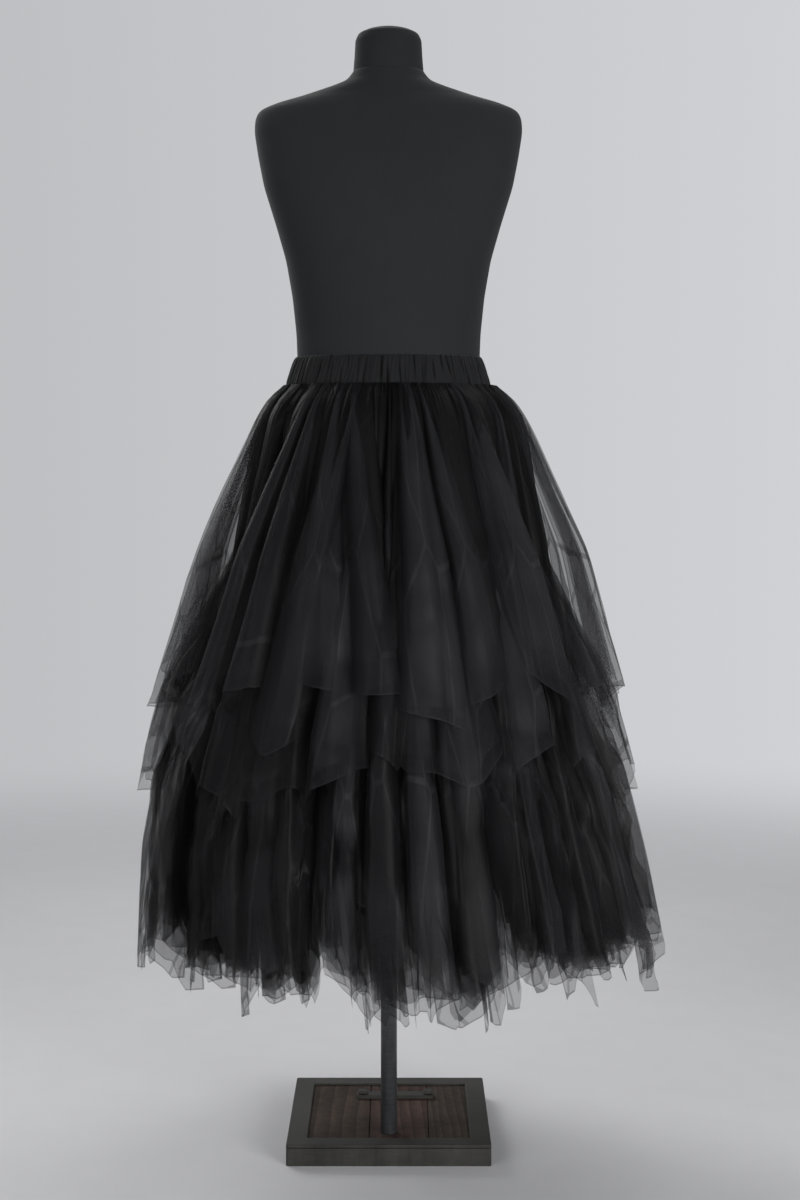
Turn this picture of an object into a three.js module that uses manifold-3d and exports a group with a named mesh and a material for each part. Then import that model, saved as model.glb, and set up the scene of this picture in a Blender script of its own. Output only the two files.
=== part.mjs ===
// A long tulle skirt of three tiers of loose hanging panels, gathered into an elastic waistband,
// on a limbless dress form with its pole and square base.
// Millimetres, +Z up. Origin on the floor at the pole's axis; the front faces -Y, +X is the right
// as seen from the front. Angles round the skirt run from the front towards +X.

import * as THREE from 'three';
import { mergeVertices } from 'three/addons/utils/BufferGeometryUtils.js';
import Module from 'manifold-3d';

const wasm = await Module();
wasm.setup();

// Clearance between touching pieces
const GAP = 0.35;

// Base: a square frame of steel angle round three planks
const BASE_SIDE = 300;
const BASE_HEIGHT = 32;
const BASE_SET_BACK = 87.5;
const ANGLE_FLANGE = 30;
const ANGLE_WALL = 3;
const PLANK_TOP = BASE_HEIGHT - ANGLE_WALL - GAP;
const PLANK_SEAMS = [-29, 59];
const TIE_BAR = { left: -51, right: 69, front: 143, depth: 20, height: 6 };
const BOLT = { side: 13, height: 5, inset: 9 };

// Pole
const POLE_RADIUS = 12;
const POLE_SIDES = 24;
const POLE_FOOT = 4;
const POLE_SOCKET_IN_FORM = 80;

// Dress form
const FORM_AROUND = 40;
const FORM_BOTTOM = 900;
const NECK_SEAM = 1580;
const FORM_SECTIONS = [
  { z: FORM_BOTTOM, across: 158, deep: 110, forward: 0, square: 2 },
  { z: 912, across: 165, deep: 117, forward: 0, square: 2 },
  { z: 975, across: 168, deep: 120, forward: 0, square: 2 },
  { z: 1035, across: 162, deep: 118, forward: 0, square: 2 },
  { z: 1085, across: 148, deep: 111, forward: 0, square: 2 },
  { z: 1135, across: 133.5, deep: 102, forward: 0, square: 2 },
  { z: 1171, across: 131.5, deep: 100, forward: 0, square: 2 },
  { z: 1208, across: 132.7, deep: 101, forward: 2, square: 2 },
  { z: 1260, across: 137.8, deep: 105, forward: 4, square: 2.3 },
  { z: 1312, across: 146.6, deep: 109, forward: 6, square: 2.4 },
  { z: 1361, across: 160.5, deep: 111, forward: 7, square: 2.5 },
  { z: 1416, across: 177.6, deep: 108, forward: 6, square: 2.6 },
  { z: 1457, across: 185.6, deep: 101, forward: 4, square: 2.6 },
  { z: 1494, across: 191.4, deep: 90, forward: 1, square: 2.6 },
  { z: 1512, across: 190.5, deep: 82, forward: 0, square: 2.5 },
  { z: 1523.5, across: 186, deep: 75, forward: 0, square: 2.4 },
  { z: 1534, across: 161, deep: 68, forward: 0, square: 2.3 },
  { z: 1543, across: 129, deep: 62, forward: 0, square: 2.2 },
  { z: 1558, across: 83, deep: 56, forward: 0, square: 2.1 },
  { z: 1567, across: 60, deep: 53, forward: 0, square: 2 },
  { z: NECK_SEAM, across: 50.6, deep: 50, forward: 0, square: 2 },
];
const NECK_PROFILE = [
  { r: 50.4, z: NECK_SEAM + GAP }, { r: 48.6, z: 1600 }, { r: 47.2, z: 1624 },
  { r: 43, z: 1633 }, { r: 31, z: 1638.5 }, { r: 15, z: 1642.5 },
];
const NECK_TOP = 1643.6;

// Waistband: a casing drawn up on elastic, its wall waved by the gathers
const BAND_GATHERS = 50;
const BAND_WALL = 2.6;
const BAND_SECTIONS = [
  { z: 1135, across: 145.5, deep: 114.5, gather: 2.4 },
  { z: 1153, across: 138.5, deep: 107, gather: 1.9 },
  { z: 1171, across: 132.1, deep: 100.6, gather: 1.2 },
];
const BAND_BOTTOM = BAND_SECTIONS[0].z;

// Skirt sections: the mid wall of the innermost layer, then how far apart the layers lie,
// how deep the folds are and how far the section leans to the right
const SKIRT_SECTIONS = [
  { z: BAND_BOTTOM - GAP, across: 140, deep: 112, spread: 1.9, fold: 1.5, lean: 0 },
  { z: 1118, across: 152, deep: 126, spread: 2.9, fold: 3.5, lean: 0 },
  { z: 1090, across: 165, deep: 142, spread: 4.1, fold: 5.5, lean: 1 },
  { z: 1045, across: 182, deep: 162, spread: 5.0, fold: 8, lean: 1 },
  { z: 985, across: 205, deep: 189, spread: 5.8, fold: 11, lean: 0 },
  { z: 900, across: 236, deep: 226, spread: 7.0, fold: 14, lean: 1 },
  { z: 800, across: 258, deep: 252, spread: 7.3, fold: 17, lean: 0 },
  { z: 620, across: 300, deep: 296, spread: 7.5, fold: 20, lean: -2 },
  { z: 460, across: 332, deep: 330, spread: 8, fold: 23, lean: 5 },
  { z: 290, across: 351, deep: 351, spread: 9, fold: 25, lean: 20 },
];

// Wall of the cloth, kept below the distance between two layers near the band
const CLOTH_WALL = 1.8;
const WALL_SHARE = 0.74;

// Folds: a ridge and a trough at every other column, of uneven depth
const COLUMNS = 80;
const COLUMN_WARP = 0.012;

// Panels of each tier. from and to are columns counted from the front towards +X, and
// left, middle and right the heights of the straight-cut hem. Neighbours overlap, and lie
// in two layers in turn.
const TIERS = [
  {
    name: 'lower', firstLayer: 0, rows: 8,
    panels: [
      { from: -18, to: -10, left: 312, middle: 326, right: 330 },
      { from: -11, to: -5, left: 336, middle: 319, right: 323 },
      { from: -6, to: 0, left: 326, middle: 312, right: 318 },
      { from: -1, to: 5, left: 322, middle: 309, right: 313 },
      { from: 4, to: 9, left: 312, middle: 324, right: 366 },
      { from: 8, to: 14, left: 362, middle: 322, right: 334 },
      { from: 13, to: 20, left: 340, middle: 322, right: 297 },
      { from: 19, to: 28, left: 304, middle: 322, right: 330 },
      { from: 27, to: 36, left: 322, middle: 312, right: 326 },
      { from: 35, to: 44, left: 330, middle: 316, right: 310 },
      { from: 43, to: 53, left: 318, middle: 326, right: 314 },
      { from: 52, to: 62, left: 320, middle: 308, right: 300 },
    ],
  },
  {
    name: 'middle', firstLayer: 2, rows: 7,
    panels: [
      { from: -14, to: -8, left: 590, middle: 548, right: 560 },
      { from: -9, to: -4, left: 566, middle: 544, right: 552 },
      { from: -5, to: 0, left: 556, middle: 578, right: 566 },
      { from: -1, to: 3, left: 570, middle: 562, right: 586 },
      { from: 2, to: 7, left: 600, middle: 528, right: 572 },
      { from: 6, to: 13, left: 640, middle: 598, right: 612 },
      { from: 12, to: 22, left: 606, middle: 584, right: 570 },
      { from: 21, to: 31, left: 580, middle: 560, right: 574 },
      { from: 30, to: 39, left: 566, middle: 582, right: 552 },
      { from: 38, to: 48, left: 560, middle: 548, right: 576 },
      { from: 47, to: 57, left: 572, middle: 588, right: 566 },
      { from: 56, to: 67, left: 574, middle: 570, right: 592 },
    ],
  },
  {
    name: 'upper', firstLayer: 4, rows: 6,
    panels: [
      { from: -13, to: -7, left: 722, middle: 716, right: 700 },
      { from: -8, to: -4, left: 704, middle: 634, right: 650 },
      { from: -6, to: 1, left: 716, middle: 706, right: 716 },
      { from: 0, to: 5, left: 700, middle: 690, right: 682 },
      { from: 4, to: 13, left: 690, middle: 724, right: 660 },
      { from: 12, to: 21, left: 690, middle: 704, right: 676 },
      { from: 20, to: 29, left: 712, middle: 690, right: 698 },
      { from: 28, to: 37, left: 690, middle: 716, right: 704 },
      { from: 36, to: 45, left: 706, middle: 684, right: 700 },
      { from: 44, to: 53, left: 698, middle: 710, right: 676 },
      { from: 52, to: 61, left: 690, middle: 704, right: 712 },
      { from: 60, to: 68, left: 700, middle: 688, right: 718 },
    ],
  },
];

const finishes = {
  tulle: new THREE.MeshStandardMaterial({ color: 0x1c1c1e, roughness: 0.85, metalness: 0 }),
  band: new THREE.MeshStandardMaterial({ color: 0x232426, roughness: 0.8, metalness: 0 }),
  jersey: new THREE.MeshStandardMaterial({ color: 0x282b2d, roughness: 0.85, metalness: 0 }),
  steel: new THREE.MeshStandardMaterial({ color: 0x323230, roughness: 0.45, metalness: 0.8 }),
  wood: new THREE.MeshStandardMaterial({ color: 0x3c322a, roughness: 0.6, metalness: 0 }),
};

// Closed mesh between an outer and an inner grid of points, with rim strips round its edges.
// outer and inner give a point for column i and row j, rows running downwards.
function wall(columns, rows, outer, inner, ring) {
  const across = ring ? columns : columns + 1;
  const positions = [];
  for (const side of [outer, inner]) {
    for (let j = 0; j <= rows; j++) {
      for (let i = 0; i < across; i++) positions.push(...side(i, j));
    }
  }
  const innerStart = across * (rows + 1);
  const index = [];
  const quad = (a, b, c, d) => index.push(a, b, c, a, c, d);
  const at = (i, j) => j * across + (i % across);
  for (let j = 0; j < rows; j++) {
    for (let i = 0; i < columns; i++) {
      quad(at(i, j), at(i, j + 1), at(i + 1, j + 1), at(i + 1, j));
      quad(
        innerStart + at(i, j), innerStart + at(i + 1, j),
        innerStart + at(i + 1, j + 1), innerStart + at(i, j + 1),
      );
    }
  }
  for (let i = 0; i < columns; i++) {
    quad(at(i, 0), at(i + 1, 0), innerStart + at(i + 1, 0), innerStart + at(i, 0));
    quad(at(i, rows), innerStart + at(i, rows), innerStart + at(i + 1, rows), at(i + 1, rows));
  }
  for (let j = 0; j < rows && !ring; j++) {
    const right = [at(columns, j), at(columns, j + 1)];
    quad(at(0, j), innerStart + at(0, j), innerStart + at(0, j + 1), at(0, j + 1));
    quad(right[0], right[1], innerStart + right[1], innerStart + right[0]);
  }
  return meshGeometry(positions, index);
}

function meshGeometry(positions, index) {
  const geometry = new THREE.BufferGeometry();
  geometry.setAttribute('position', new THREE.Float32BufferAttribute(positions, 3));
  geometry.setIndex(index);
  geometry.computeVertexNormals();
  return geometry;
}

// Named values of a table of sections at height z, in a straight line between its rows
function sectionAt(sections, z) {
  const down = sections[0].z > sections[1].z;
  let k = 0;
  while (k < sections.length - 2 && (down ? z < sections[k + 1].z : z > sections[k + 1].z)) k++;
  const [from, to] = [sections[k], sections[k + 1]];
  const share = (z - from.z) / (to.z - from.z);
  const mixed = {};
  for (const name of Object.keys(from)) mixed[name] = THREE.MathUtils.lerp(from[name], to[name], share);
  return mixed;
}

// Point of an oval section, moved outwards along the section's own normal
function ovalPoint(angle, across, deep, outward, lean, z) {
  const normal = new THREE.Vector2(Math.sin(angle) / across, -Math.cos(angle) / deep).normalize();
  return [
    lean + across * Math.sin(angle) + normal.x * outward,
    -deep * Math.cos(angle) + normal.y * outward,
    z,
  ];
}

// Angle and depth of the fold at a column: even columns are ridges, odd ones troughs
function columnAngle(column) {
  const turn = (2 * Math.PI * column) / COLUMNS;
  return turn + COLUMN_WARP * Math.sin(7 * turn + 1) + COLUMN_WARP * Math.sin(11 * turn);
}

function foldAt(column) {
  const turn = (2 * Math.PI * column) / COLUMNS;
  const zigzag = 0.55 + 0.2 * Math.sin(9 * turn + 0.8);
  const swell = 0.25 * Math.sin(13 * turn + 2.2);
  return (column % 2 === 0 ? zigzag : -zigzag) + swell;
}

// One hanging panel: its columns and rows lie on the skirt's own sections, so layers nest
function panelGeometry(tier, panel, layer) {
  const columns = panel.to - panel.from;
  const hemAt = (i) => {
    const share = (2 * i) / columns;
    return share < 1
      ? THREE.MathUtils.lerp(panel.left, panel.middle, share)
      : THREE.MathUtils.lerp(panel.middle, panel.right, share - 1);
  };
  const side = (facing) => (i, j) => {
    const column = panel.from + i;
    const z = j === tier.rows + 1 ? hemAt(i) : SKIRT_SECTIONS[j].z;
    const section = sectionAt(SKIRT_SECTIONS, z);
    const thickness = Math.min(CLOTH_WALL, WALL_SHARE * section.spread);
    const outward = layer * section.spread + section.fold * foldAt(column) + (facing * thickness) / 2;
    return ovalPoint(columnAngle(column), section.across, section.deep, outward, section.lean, z);
  };
  return wall(columns, tier.rows + 1, side(1), side(-1), false);
}

// Waistband: a ring whose wall swings out at each gather
function bandGeometry() {
  const columns = 2 * BAND_GATHERS;
  const sections = [...BAND_SECTIONS].reverse();
  const side = (thickness) => (i, j) => {
    const { z, across, deep, gather } = sections[j];
    const angle = (2 * Math.PI * i) / columns;
    const uneven = 0.75 + 0.25 * Math.sin(9 * angle + 1);
    const outward = (i % 2 === 0 ? gather * uneven : 0) + thickness;
    return ovalPoint(angle, across, deep, outward, 0, z);
  };
  return wall(columns, sections.length - 1, side(BAND_WALL), side(0), true);
}

// Torso: squared oval sections, closed flat at the bottom and at the neck seam
function torsoGeometry() {
  const positions = [];
  const index = [];
  for (const { z, across, deep, forward, square } of FORM_SECTIONS) {
    for (let i = 0; i < FORM_AROUND; i++) {
      const angle = (2 * Math.PI * i) / FORM_AROUND;
      const power = (value) => Math.sign(value) * Math.abs(value) ** (2 / square);
      positions.push(across * power(Math.sin(angle)), -deep * power(Math.cos(angle)) - forward, z);
    }
  }
  const at = (i, j) => j * FORM_AROUND + (i % FORM_AROUND);
  const top = FORM_SECTIONS.length - 1;
  for (let j = 0; j < top; j++) {
    for (let i = 0; i < FORM_AROUND; i++) {
      index.push(at(i, j), at(i + 1, j), at(i + 1, j + 1), at(i, j), at(i + 1, j + 1), at(i, j + 1));
    }
  }
  const bottomCentre = positions.length / 3;
  positions.push(0, 0, FORM_BOTTOM, 0, 0, NECK_SEAM);
  for (let i = 0; i < FORM_AROUND; i++) {
    index.push(bottomCentre, at(i + 1, 0), at(i, 0));
    index.push(bottomCentre + 1, at(i, top), at(i + 1, top));
  }
  return meshGeometry(positions, index);
}

function poleSolid(radius, bottom, top) {
  const geometry = new THREE.CylinderGeometry(radius, radius, top - bottom, POLE_SIDES);
  geometry.rotateX(Math.PI / 2);
  geometry.translate(0, 0, (bottom + top) / 2);
  return geometry;
}

// Part of a geometry left once another is cut away
function cut(geometry, tool) {
  const solidOf = (source) => {
    const bare = source.clone();
    for (const name of ['normal', 'uv']) bare.deleteAttribute(name);
    const merged = mergeVertices(bare, 1e-4);
    return new wasm.Manifold(new wasm.Mesh({
      numProp: 3,
      vertProperties: new Float32Array(merged.attributes.position.array),
      triVerts: new Uint32Array(merged.index.array),
    }));
  };
  const left = solidOf(geometry).subtract(solidOf(tool)).getMesh();
  return meshGeometry(Array.from(left.vertProperties), Array.from(left.triVerts));
}

// Steel angle with both ends cut at 45 degrees, its outer face towards -Y, along X
function railGeometry() {
  const profile = [
    { inset: 0, z: 0 }, { inset: ANGLE_WALL, z: 0 },
    { inset: ANGLE_WALL, z: BASE_HEIGHT - ANGLE_WALL },
    { inset: ANGLE_FLANGE, z: BASE_HEIGHT - ANGLE_WALL },
    { inset: ANGLE_FLANGE, z: BASE_HEIGHT }, { inset: 0, z: BASE_HEIGHT },
  ];
  const positions = [];
  for (const end of [-1, 1]) {
    for (const { inset, z } of profile) {
      positions.push(end * (BASE_SIDE / 2 - inset - GAP / 2), inset - BASE_SIDE / 2, z);
    }
  }
  const outline = profile.map(({ inset, z }) => new THREE.Vector2(inset, z));
  const ends = THREE.ShapeUtils.triangulateShape(outline, []);
  const count = profile.length;
  const index = [];
  for (const [a, b, c] of ends) index.push(a, c, b, count + a, count + b, count + c);
  for (let i = 0; i < count; i++) {
    const next = (i + 1) % count;
    index.push(i, next, count + next, i, count + next, count + i);
  }
  return meshGeometry(positions, index);
}

function boxBetween(low, high) {
  const size = high.map((value, k) => value - low[k]);
  const geometry = new THREE.BoxGeometry(...size);
  geometry.translate(...low.map((value, k) => value + size[k] / 2));
  return geometry;
}

function mesh(name, geometry, finish) {
  const part = new THREE.Mesh(geometry, finishes[finish]);
  part.name = name;
  return part;
}

function buildBase() {
  const base = new THREE.Group();
  base.position.y = BASE_SET_BACK;
  ['front', 'right', 'back', 'left'].forEach((side, turn) => {
    const rail = mesh(`base_rail_${side}`, railGeometry(), 'steel');
    rail.rotation.z = (turn * Math.PI) / 2;
    base.add(rail);
  });
  const reach = BASE_SIDE / 2 - ANGLE_WALL - GAP;
  const edges = [-reach, ...PLANK_SEAMS, reach];
  const poleHole = poleSolid(POLE_RADIUS + GAP, POLE_FOOT - GAP, BASE_HEIGHT);
  poleHole.translate(0, -BASE_SET_BACK, 0);
  ['left', 'middle', 'right'].forEach((side, k) => {
    const plank = boxBetween(
      [edges[k] + (k > 0 ? GAP : 0), -reach, 0], [edges[k + 1] - (k < 2 ? GAP : 0), reach, PLANK_TOP],
    );
    base.add(mesh(`base_plank_${side}`, side === 'middle' ? cut(plank, poleHole) : plank, 'wood'));
  });
  const barBottom = PLANK_TOP + GAP;
  const barTop = barBottom + TIE_BAR.height;
  const barFront = TIE_BAR.front - BASE_SET_BACK;
  base.add(mesh('base_tie_bar', boxBetween(
    [TIE_BAR.left, barFront, barBottom], [TIE_BAR.right, barFront + TIE_BAR.depth, barTop],
  ), 'steel'));
  const boltSeats = { left: TIE_BAR.left + BOLT.inset, right: TIE_BAR.right - BOLT.inset };
  for (const [side, x] of Object.entries(boltSeats)) {
    const y = barFront + TIE_BAR.depth / 2;
    base.add(mesh(`base_bolt_${side}`, boxBetween(
      [x - BOLT.side / 2, y - BOLT.side / 2, barTop + GAP],
      [x + BOLT.side / 2, y + BOLT.side / 2, barTop + GAP + BOLT.height],
    ), 'steel'));
  }
  return base;
}

function buildForm() {
  const form = new THREE.Group();
  const poleTop = FORM_BOTTOM + POLE_SOCKET_IN_FORM;
  const socket = poleSolid(POLE_RADIUS + GAP, FORM_BOTTOM - POLE_RADIUS, poleTop + GAP);
  form.add(mesh('form_torso', cut(torsoGeometry(), socket), 'jersey'));
  const neckOutline = NECK_PROFILE.map(({ r, z }) => new THREE.Vector2(r, z));
  const neck = new THREE.LatheGeometry([
    new THREE.Vector2(0, NECK_PROFILE[0].z), ...neckOutline, new THREE.Vector2(0, NECK_TOP),
  ], FORM_AROUND);
  neck.rotateX(Math.PI / 2);
  form.add(mesh('form_neck', neck, 'jersey'));
  form.add(mesh('stand_pole', poleSolid(POLE_RADIUS, POLE_FOOT, poleTop), 'steel'));
  return form;
}

function buildSkirt() {
  const skirt = new THREE.Group();
  skirt.add(mesh('waistband', bandGeometry(), 'band'));
  for (const tier of TIERS) {
    tier.panels.forEach((panel, k) => {
      const name = `${tier.name}_panel_${String(k + 1).padStart(2, '0')}`;
      skirt.add(mesh(name, panelGeometry(tier, panel, tier.firstLayer + (k % 2)), 'tulle'));
    });
  }
  return skirt;
}

const part = new THREE.Group();
part.add(buildBase(), buildForm(), buildSkirt());

export default part;
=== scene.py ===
# A long tiered tulle skirt on a limbless dress form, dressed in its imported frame
import math
import bmesh
import bpy
import numpy as np
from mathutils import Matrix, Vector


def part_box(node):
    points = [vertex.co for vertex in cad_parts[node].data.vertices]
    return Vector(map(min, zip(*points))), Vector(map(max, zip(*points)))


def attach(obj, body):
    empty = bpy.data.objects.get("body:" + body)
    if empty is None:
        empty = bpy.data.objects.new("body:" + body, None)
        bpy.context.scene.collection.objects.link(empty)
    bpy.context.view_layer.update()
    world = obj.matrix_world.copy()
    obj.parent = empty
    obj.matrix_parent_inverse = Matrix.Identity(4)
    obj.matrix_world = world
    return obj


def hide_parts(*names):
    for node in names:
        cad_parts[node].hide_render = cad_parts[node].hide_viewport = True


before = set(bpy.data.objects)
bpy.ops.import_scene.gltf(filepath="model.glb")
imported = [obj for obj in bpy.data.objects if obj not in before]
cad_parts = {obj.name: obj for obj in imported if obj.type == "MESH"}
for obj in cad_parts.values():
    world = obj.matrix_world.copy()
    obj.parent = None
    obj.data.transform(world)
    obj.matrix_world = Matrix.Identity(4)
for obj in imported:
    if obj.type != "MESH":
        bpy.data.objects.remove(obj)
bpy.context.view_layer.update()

front = {"lens": 56.19, "place": (0.0165, -2.726, 1.027), "pitchDown": 4.26}


# Meshes from grids

def addMesh(name, points, faces, uv=None, smooth=True):
    # Points (n, 3), quads or triangles (m, k) and one uv pair per point, put into a mesh object
    mesh = bpy.data.meshes.new(name)
    corners = faces.shape[1]
    mesh.vertices.add(len(points))
    mesh.vertices.foreach_set("co", points.astype(np.float32).ravel())
    mesh.loops.add(faces.size)
    mesh.loops.foreach_set("vertex_index", faces.astype(np.int32).ravel())
    mesh.polygons.add(len(faces))
    mesh.polygons.foreach_set("loop_start", np.arange(0, faces.size, corners, dtype=np.int32))
    mesh.polygons.foreach_set("use_smooth", np.full(len(faces), smooth))
    if uv is not None:
        layer = mesh.uv_layers.new(name="cloth")
        layer.data.foreach_set("uv", uv[faces.ravel()].astype(np.float32).ravel())
    mesh.update()
    mesh.validate()
    piece = bpy.data.objects.new(name, mesh)
    bpy.context.scene.collection.objects.link(piece)
    return piece


def gridFaces(rows, columns, ring=False, start=0):
    # Quads between neighbouring points of a rows by columns grid. On a ring the last column joins the first
    across = columns if ring else columns - 1
    i, j = np.meshgrid(np.arange(across), np.arange(rows - 1))
    right = (i + 1) % columns
    here, below = j * columns, (j + 1) * columns
    quads = np.stack([here + i, below + i, below + right, here + right], -1)
    return quads.reshape(-1, 4) + start


def clothUv(grid):
    # Distance along the rows and down the columns, so a pattern keeps its real size on the cloth
    across = np.linalg.norm(np.diff(grid, axis=1), axis=2).mean(0)
    down = np.linalg.norm(np.diff(grid, axis=0), axis=2).mean(1)
    u, v = np.concatenate([[0], np.cumsum(across)]), np.concatenate([[0], np.cumsum(down)])
    return np.stack(np.meshgrid(u, v), -1)


def eased(positions, values, count, width):
    # Values along a line, sampled evenly and rounded off by a bell-shaped average of the given width
    even = np.linspace(positions[0], positions[-1], count)
    step = even[1] - even[0]
    reach = max(int(3 * width / step), 1)
    bell = np.exp(-0.5 * (np.arange(-reach, reach + 1) * step / width) ** 2)
    line = np.interp(even, positions, values)
    padded = np.concatenate([
        2 * line[0] - line[reach:0:-1], line, 2 * line[-1] - line[-2:-reach - 2:-1]])
    return even, np.convolve(padded, bell / bell.sum(), "valid")


def wander(positions, knots, seed, low=-1.0, high=1.0):
    # A broken straight line through random heights at uneven knots, read at the positions
    random = np.random.default_rng(seed)
    places = np.sort(random.uniform(positions.min(), positions.max(), knots))
    places = np.concatenate([[positions.min()], places, [positions.max()]])
    return np.interp(positions, places, random.uniform(low, high, len(places)))


def keepForPoints(piece, name, values):
    # One value for each point of the mesh, for the shaders to read
    attribute = piece.data.attributes.new(name, "FLOAT", "POINT")
    attribute.data.foreach_set("value", values.astype(np.float32).ravel())


# Shader helpers and shared effects

def addNode(tree, kind, inputs=None, **settings):
    # A node with its settings, each input linked to a socket or set to a value
    node = tree.nodes.new(kind)
    for key, value in settings.items():
        setattr(node, key, value)
    for key, value in (inputs or {}).items():
        if isinstance(value, bpy.types.NodeSocket):
            tree.links.new(value, node.inputs[key])
        else:
            node.inputs[key].default_value = value
    return node


def maths(tree, operation, first, second=None, clamp=False):
    inputs = {0: first} if second is None else {0: first, 1: second}
    return addNode(tree, "ShaderNodeMath", inputs, operation=operation, use_clamp=clamp).outputs[0]


def scaled(tree, value, times, plus):
    # value * times + plus
    return maths(tree, "ADD", maths(tree, "MULTIPLY", value, times), plus)


def product(tree, first, *others):
    for other in others:
        first = maths(tree, "MULTIPLY", first, other)
    return first


def lineMask(tree, value, place, width):
    # 1 where the value is at the place, falling evenly to 0 at a width from it
    away = maths(tree, "ABSOLUTE", maths(tree, "SUBTRACT", value, place))
    return maths(tree, "SUBTRACT", 1.0, maths(tree, "DIVIDE", away, width), clamp=True)


def noise(tree, vector, scale, detail):
    inputs = {"Vector": vector, "Scale": scale, "Detail": detail}
    return addNode(tree, "ShaderNodeTexNoise", inputs).outputs[0]


def pointValue(tree, name):
    # A value that the piece's mesh keeps for each of its points
    return addNode(tree, "ShaderNodeAttribute", attribute_name=name).outputs["Fac"]


def effectGroup(name, inputs, outputs):
    # An empty node group with vector or value inputs and value outputs
    tree = bpy.data.node_groups.new(name, "ShaderNodeTree")
    for label, default in inputs.items():
        kind = "NodeSocketVector" if default is None else "NodeSocketFloat"
        socket = tree.interface.new_socket(label, in_out="INPUT", socket_type=kind)
        if default is not None:
            socket.default_value = default
    for label in outputs:
        tree.interface.new_socket(label, in_out="OUTPUT", socket_type="NodeSocketFloat")
    return tree, tree.nodes.new("NodeGroupInput").outputs, tree.nodes.new("NodeGroupOutput").inputs


def threadsAlong(tree, x, y, slope, cell):
    # Thread mask of one set of parallel lines: bright where the sine of the distance across them is small
    across = maths(tree, "DIVIDE", maths(tree, "ADD", x, product(tree, y, slope)), cell)
    wave = maths(tree, "ABSOLUTE", maths(tree, "SINE", product(tree, across, math.pi)))
    return maths(tree, "SUBTRACT", 1.0, wave)


def netGroup():
    # Open net: three sets of fine threads at 60 degrees to each other, two leaning and one level
    net = {"slope": 0.577, "levels": 1.155, "sharpness": 2.5}
    tree, given, out = effectGroup("openNet", {"Vector": None, "Cell": 0.0013}, ["Thread"])
    split = addNode(tree, "ShaderNodeSeparateXYZ", {0: given["Vector"]}).outputs
    leaning = [threadsAlong(tree, split[0], split[1], slope, given["Cell"])
               for slope in (net["slope"], -net["slope"])]
    level = maths(tree, "DIVIDE", split[1], given["Cell"])
    level = maths(tree, "SINE", product(tree, level, math.pi * net["levels"]))
    level = maths(tree, "SUBTRACT", 1.0, maths(tree, "ABSOLUTE", level))
    threads = maths(tree, "MAXIMUM", maths(tree, "MAXIMUM", *leaning), level)
    tree.links.new(maths(tree, "POWER", threads, net["sharpness"]), out["Thread"])
    return tree


def mottleGroup():
    # Uneven tone: two sizes of noise, centred on one
    mix = {"detail": 3.0, "finerBy": 9.0, "finerDetail": 4.0, "share": 0.5, "middle": 0.75, "swing": 4.0}
    tree, given, out = effectGroup(
        "unevenTone", {"Vector": None, "Scale": 8.0, "Amount": 0.3}, ["Tone", "Height"])
    broad = noise(tree, given["Vector"], given["Scale"], mix["detail"])
    finerScale = product(tree, given["Scale"], mix["finerBy"])
    finer = noise(tree, given["Vector"], finerScale, mix["finerDetail"])
    both = maths(tree, "ADD", broad, product(tree, finer, mix["share"]))
    swing = product(tree, given["Amount"], mix["swing"])
    tone = scaled(tree, maths(tree, "SUBTRACT", both, mix["middle"]), swing, 1.0)
    tree.links.new(tone, out["Tone"])
    tree.links.new(both, out["Height"])
    return tree


def weaveGroup():
    # Plain weave or fine knit: threads over and under, as the product of two sines
    contrast = 0.12
    tree, given, out = effectGroup("weave", {"Vector": None, "Cell": 0.0006}, ["Tone", "Height"])
    split = addNode(tree, "ShaderNodeSeparateXYZ", {0: given["Vector"]}).outputs
    rate = maths(tree, "DIVIDE", math.pi, given["Cell"])
    sines = [maths(tree, "SINE", product(tree, split[k], rate)) for k in (0, 1)]
    height = product(tree, *sines)
    tree.links.new(scaled(tree, height, contrast, 1.0), out["Tone"])
    tree.links.new(height, out["Height"])
    return tree


groups = {"net": netGroup(), "mottle": mottleGroup(), "weave": weaveGroup()}


def useGroup(tree, name, **inputs):
    return addNode(tree, "ShaderNodeGroup", inputs, node_tree=groups[name]).outputs


def newMaterial(name, **constants):
    # A material whose constants, the same all over the surface, are set on the shader itself
    material = bpy.data.materials.new(name)
    material.use_nodes = True
    shader = material.node_tree.nodes["Principled BSDF"]
    for key, value in constants.items():
        shader.inputs[key].default_value = value
    return material, material.node_tree, shader


def toned(tree, shader, colour, tone):
    # Base colour multiplied by an uneven tone
    grey = addNode(tree, "ShaderNodeCombineColor", {0: tone, 1: tone, 2: tone}).outputs[0]
    mix = addNode(tree, "ShaderNodeMix", data_type="RGBA", blend_type="MULTIPLY")
    mix.inputs[0].default_value = 1.0
    mix.inputs[6].default_value = (*colour, 1)
    tree.links.new(grey, mix.inputs[7])
    tree.links.new(mix.outputs[2], shader.inputs["Base Color"])


def bumped(tree, shader, height, strength, distance):
    bump = addNode(tree, "ShaderNodeBump", {"Height": height, "Strength": strength, "Distance": distance})
    tree.links.new(bump.outputs[0], shader.inputs["Normal"])


def uvVector(tree):
    return addNode(tree, "ShaderNodeUVMap", uv_map="cloth").outputs[0]


def objectVector(tree, scale=(1, 1, 1)):
    place = addNode(tree, "ShaderNodeTexCoord").outputs["Object"]
    return addNode(tree, "ShaderNodeMapping", {"Vector": place, "Scale": scale}).outputs[0]


def patchy(tree, scale, amount, stretch=(1, 1, 1)):
    # Uneven tone and height over the whole piece
    return useGroup(tree, "mottle", Vector=objectVector(tree, stretch), Scale=scale, Amount=amount)


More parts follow.
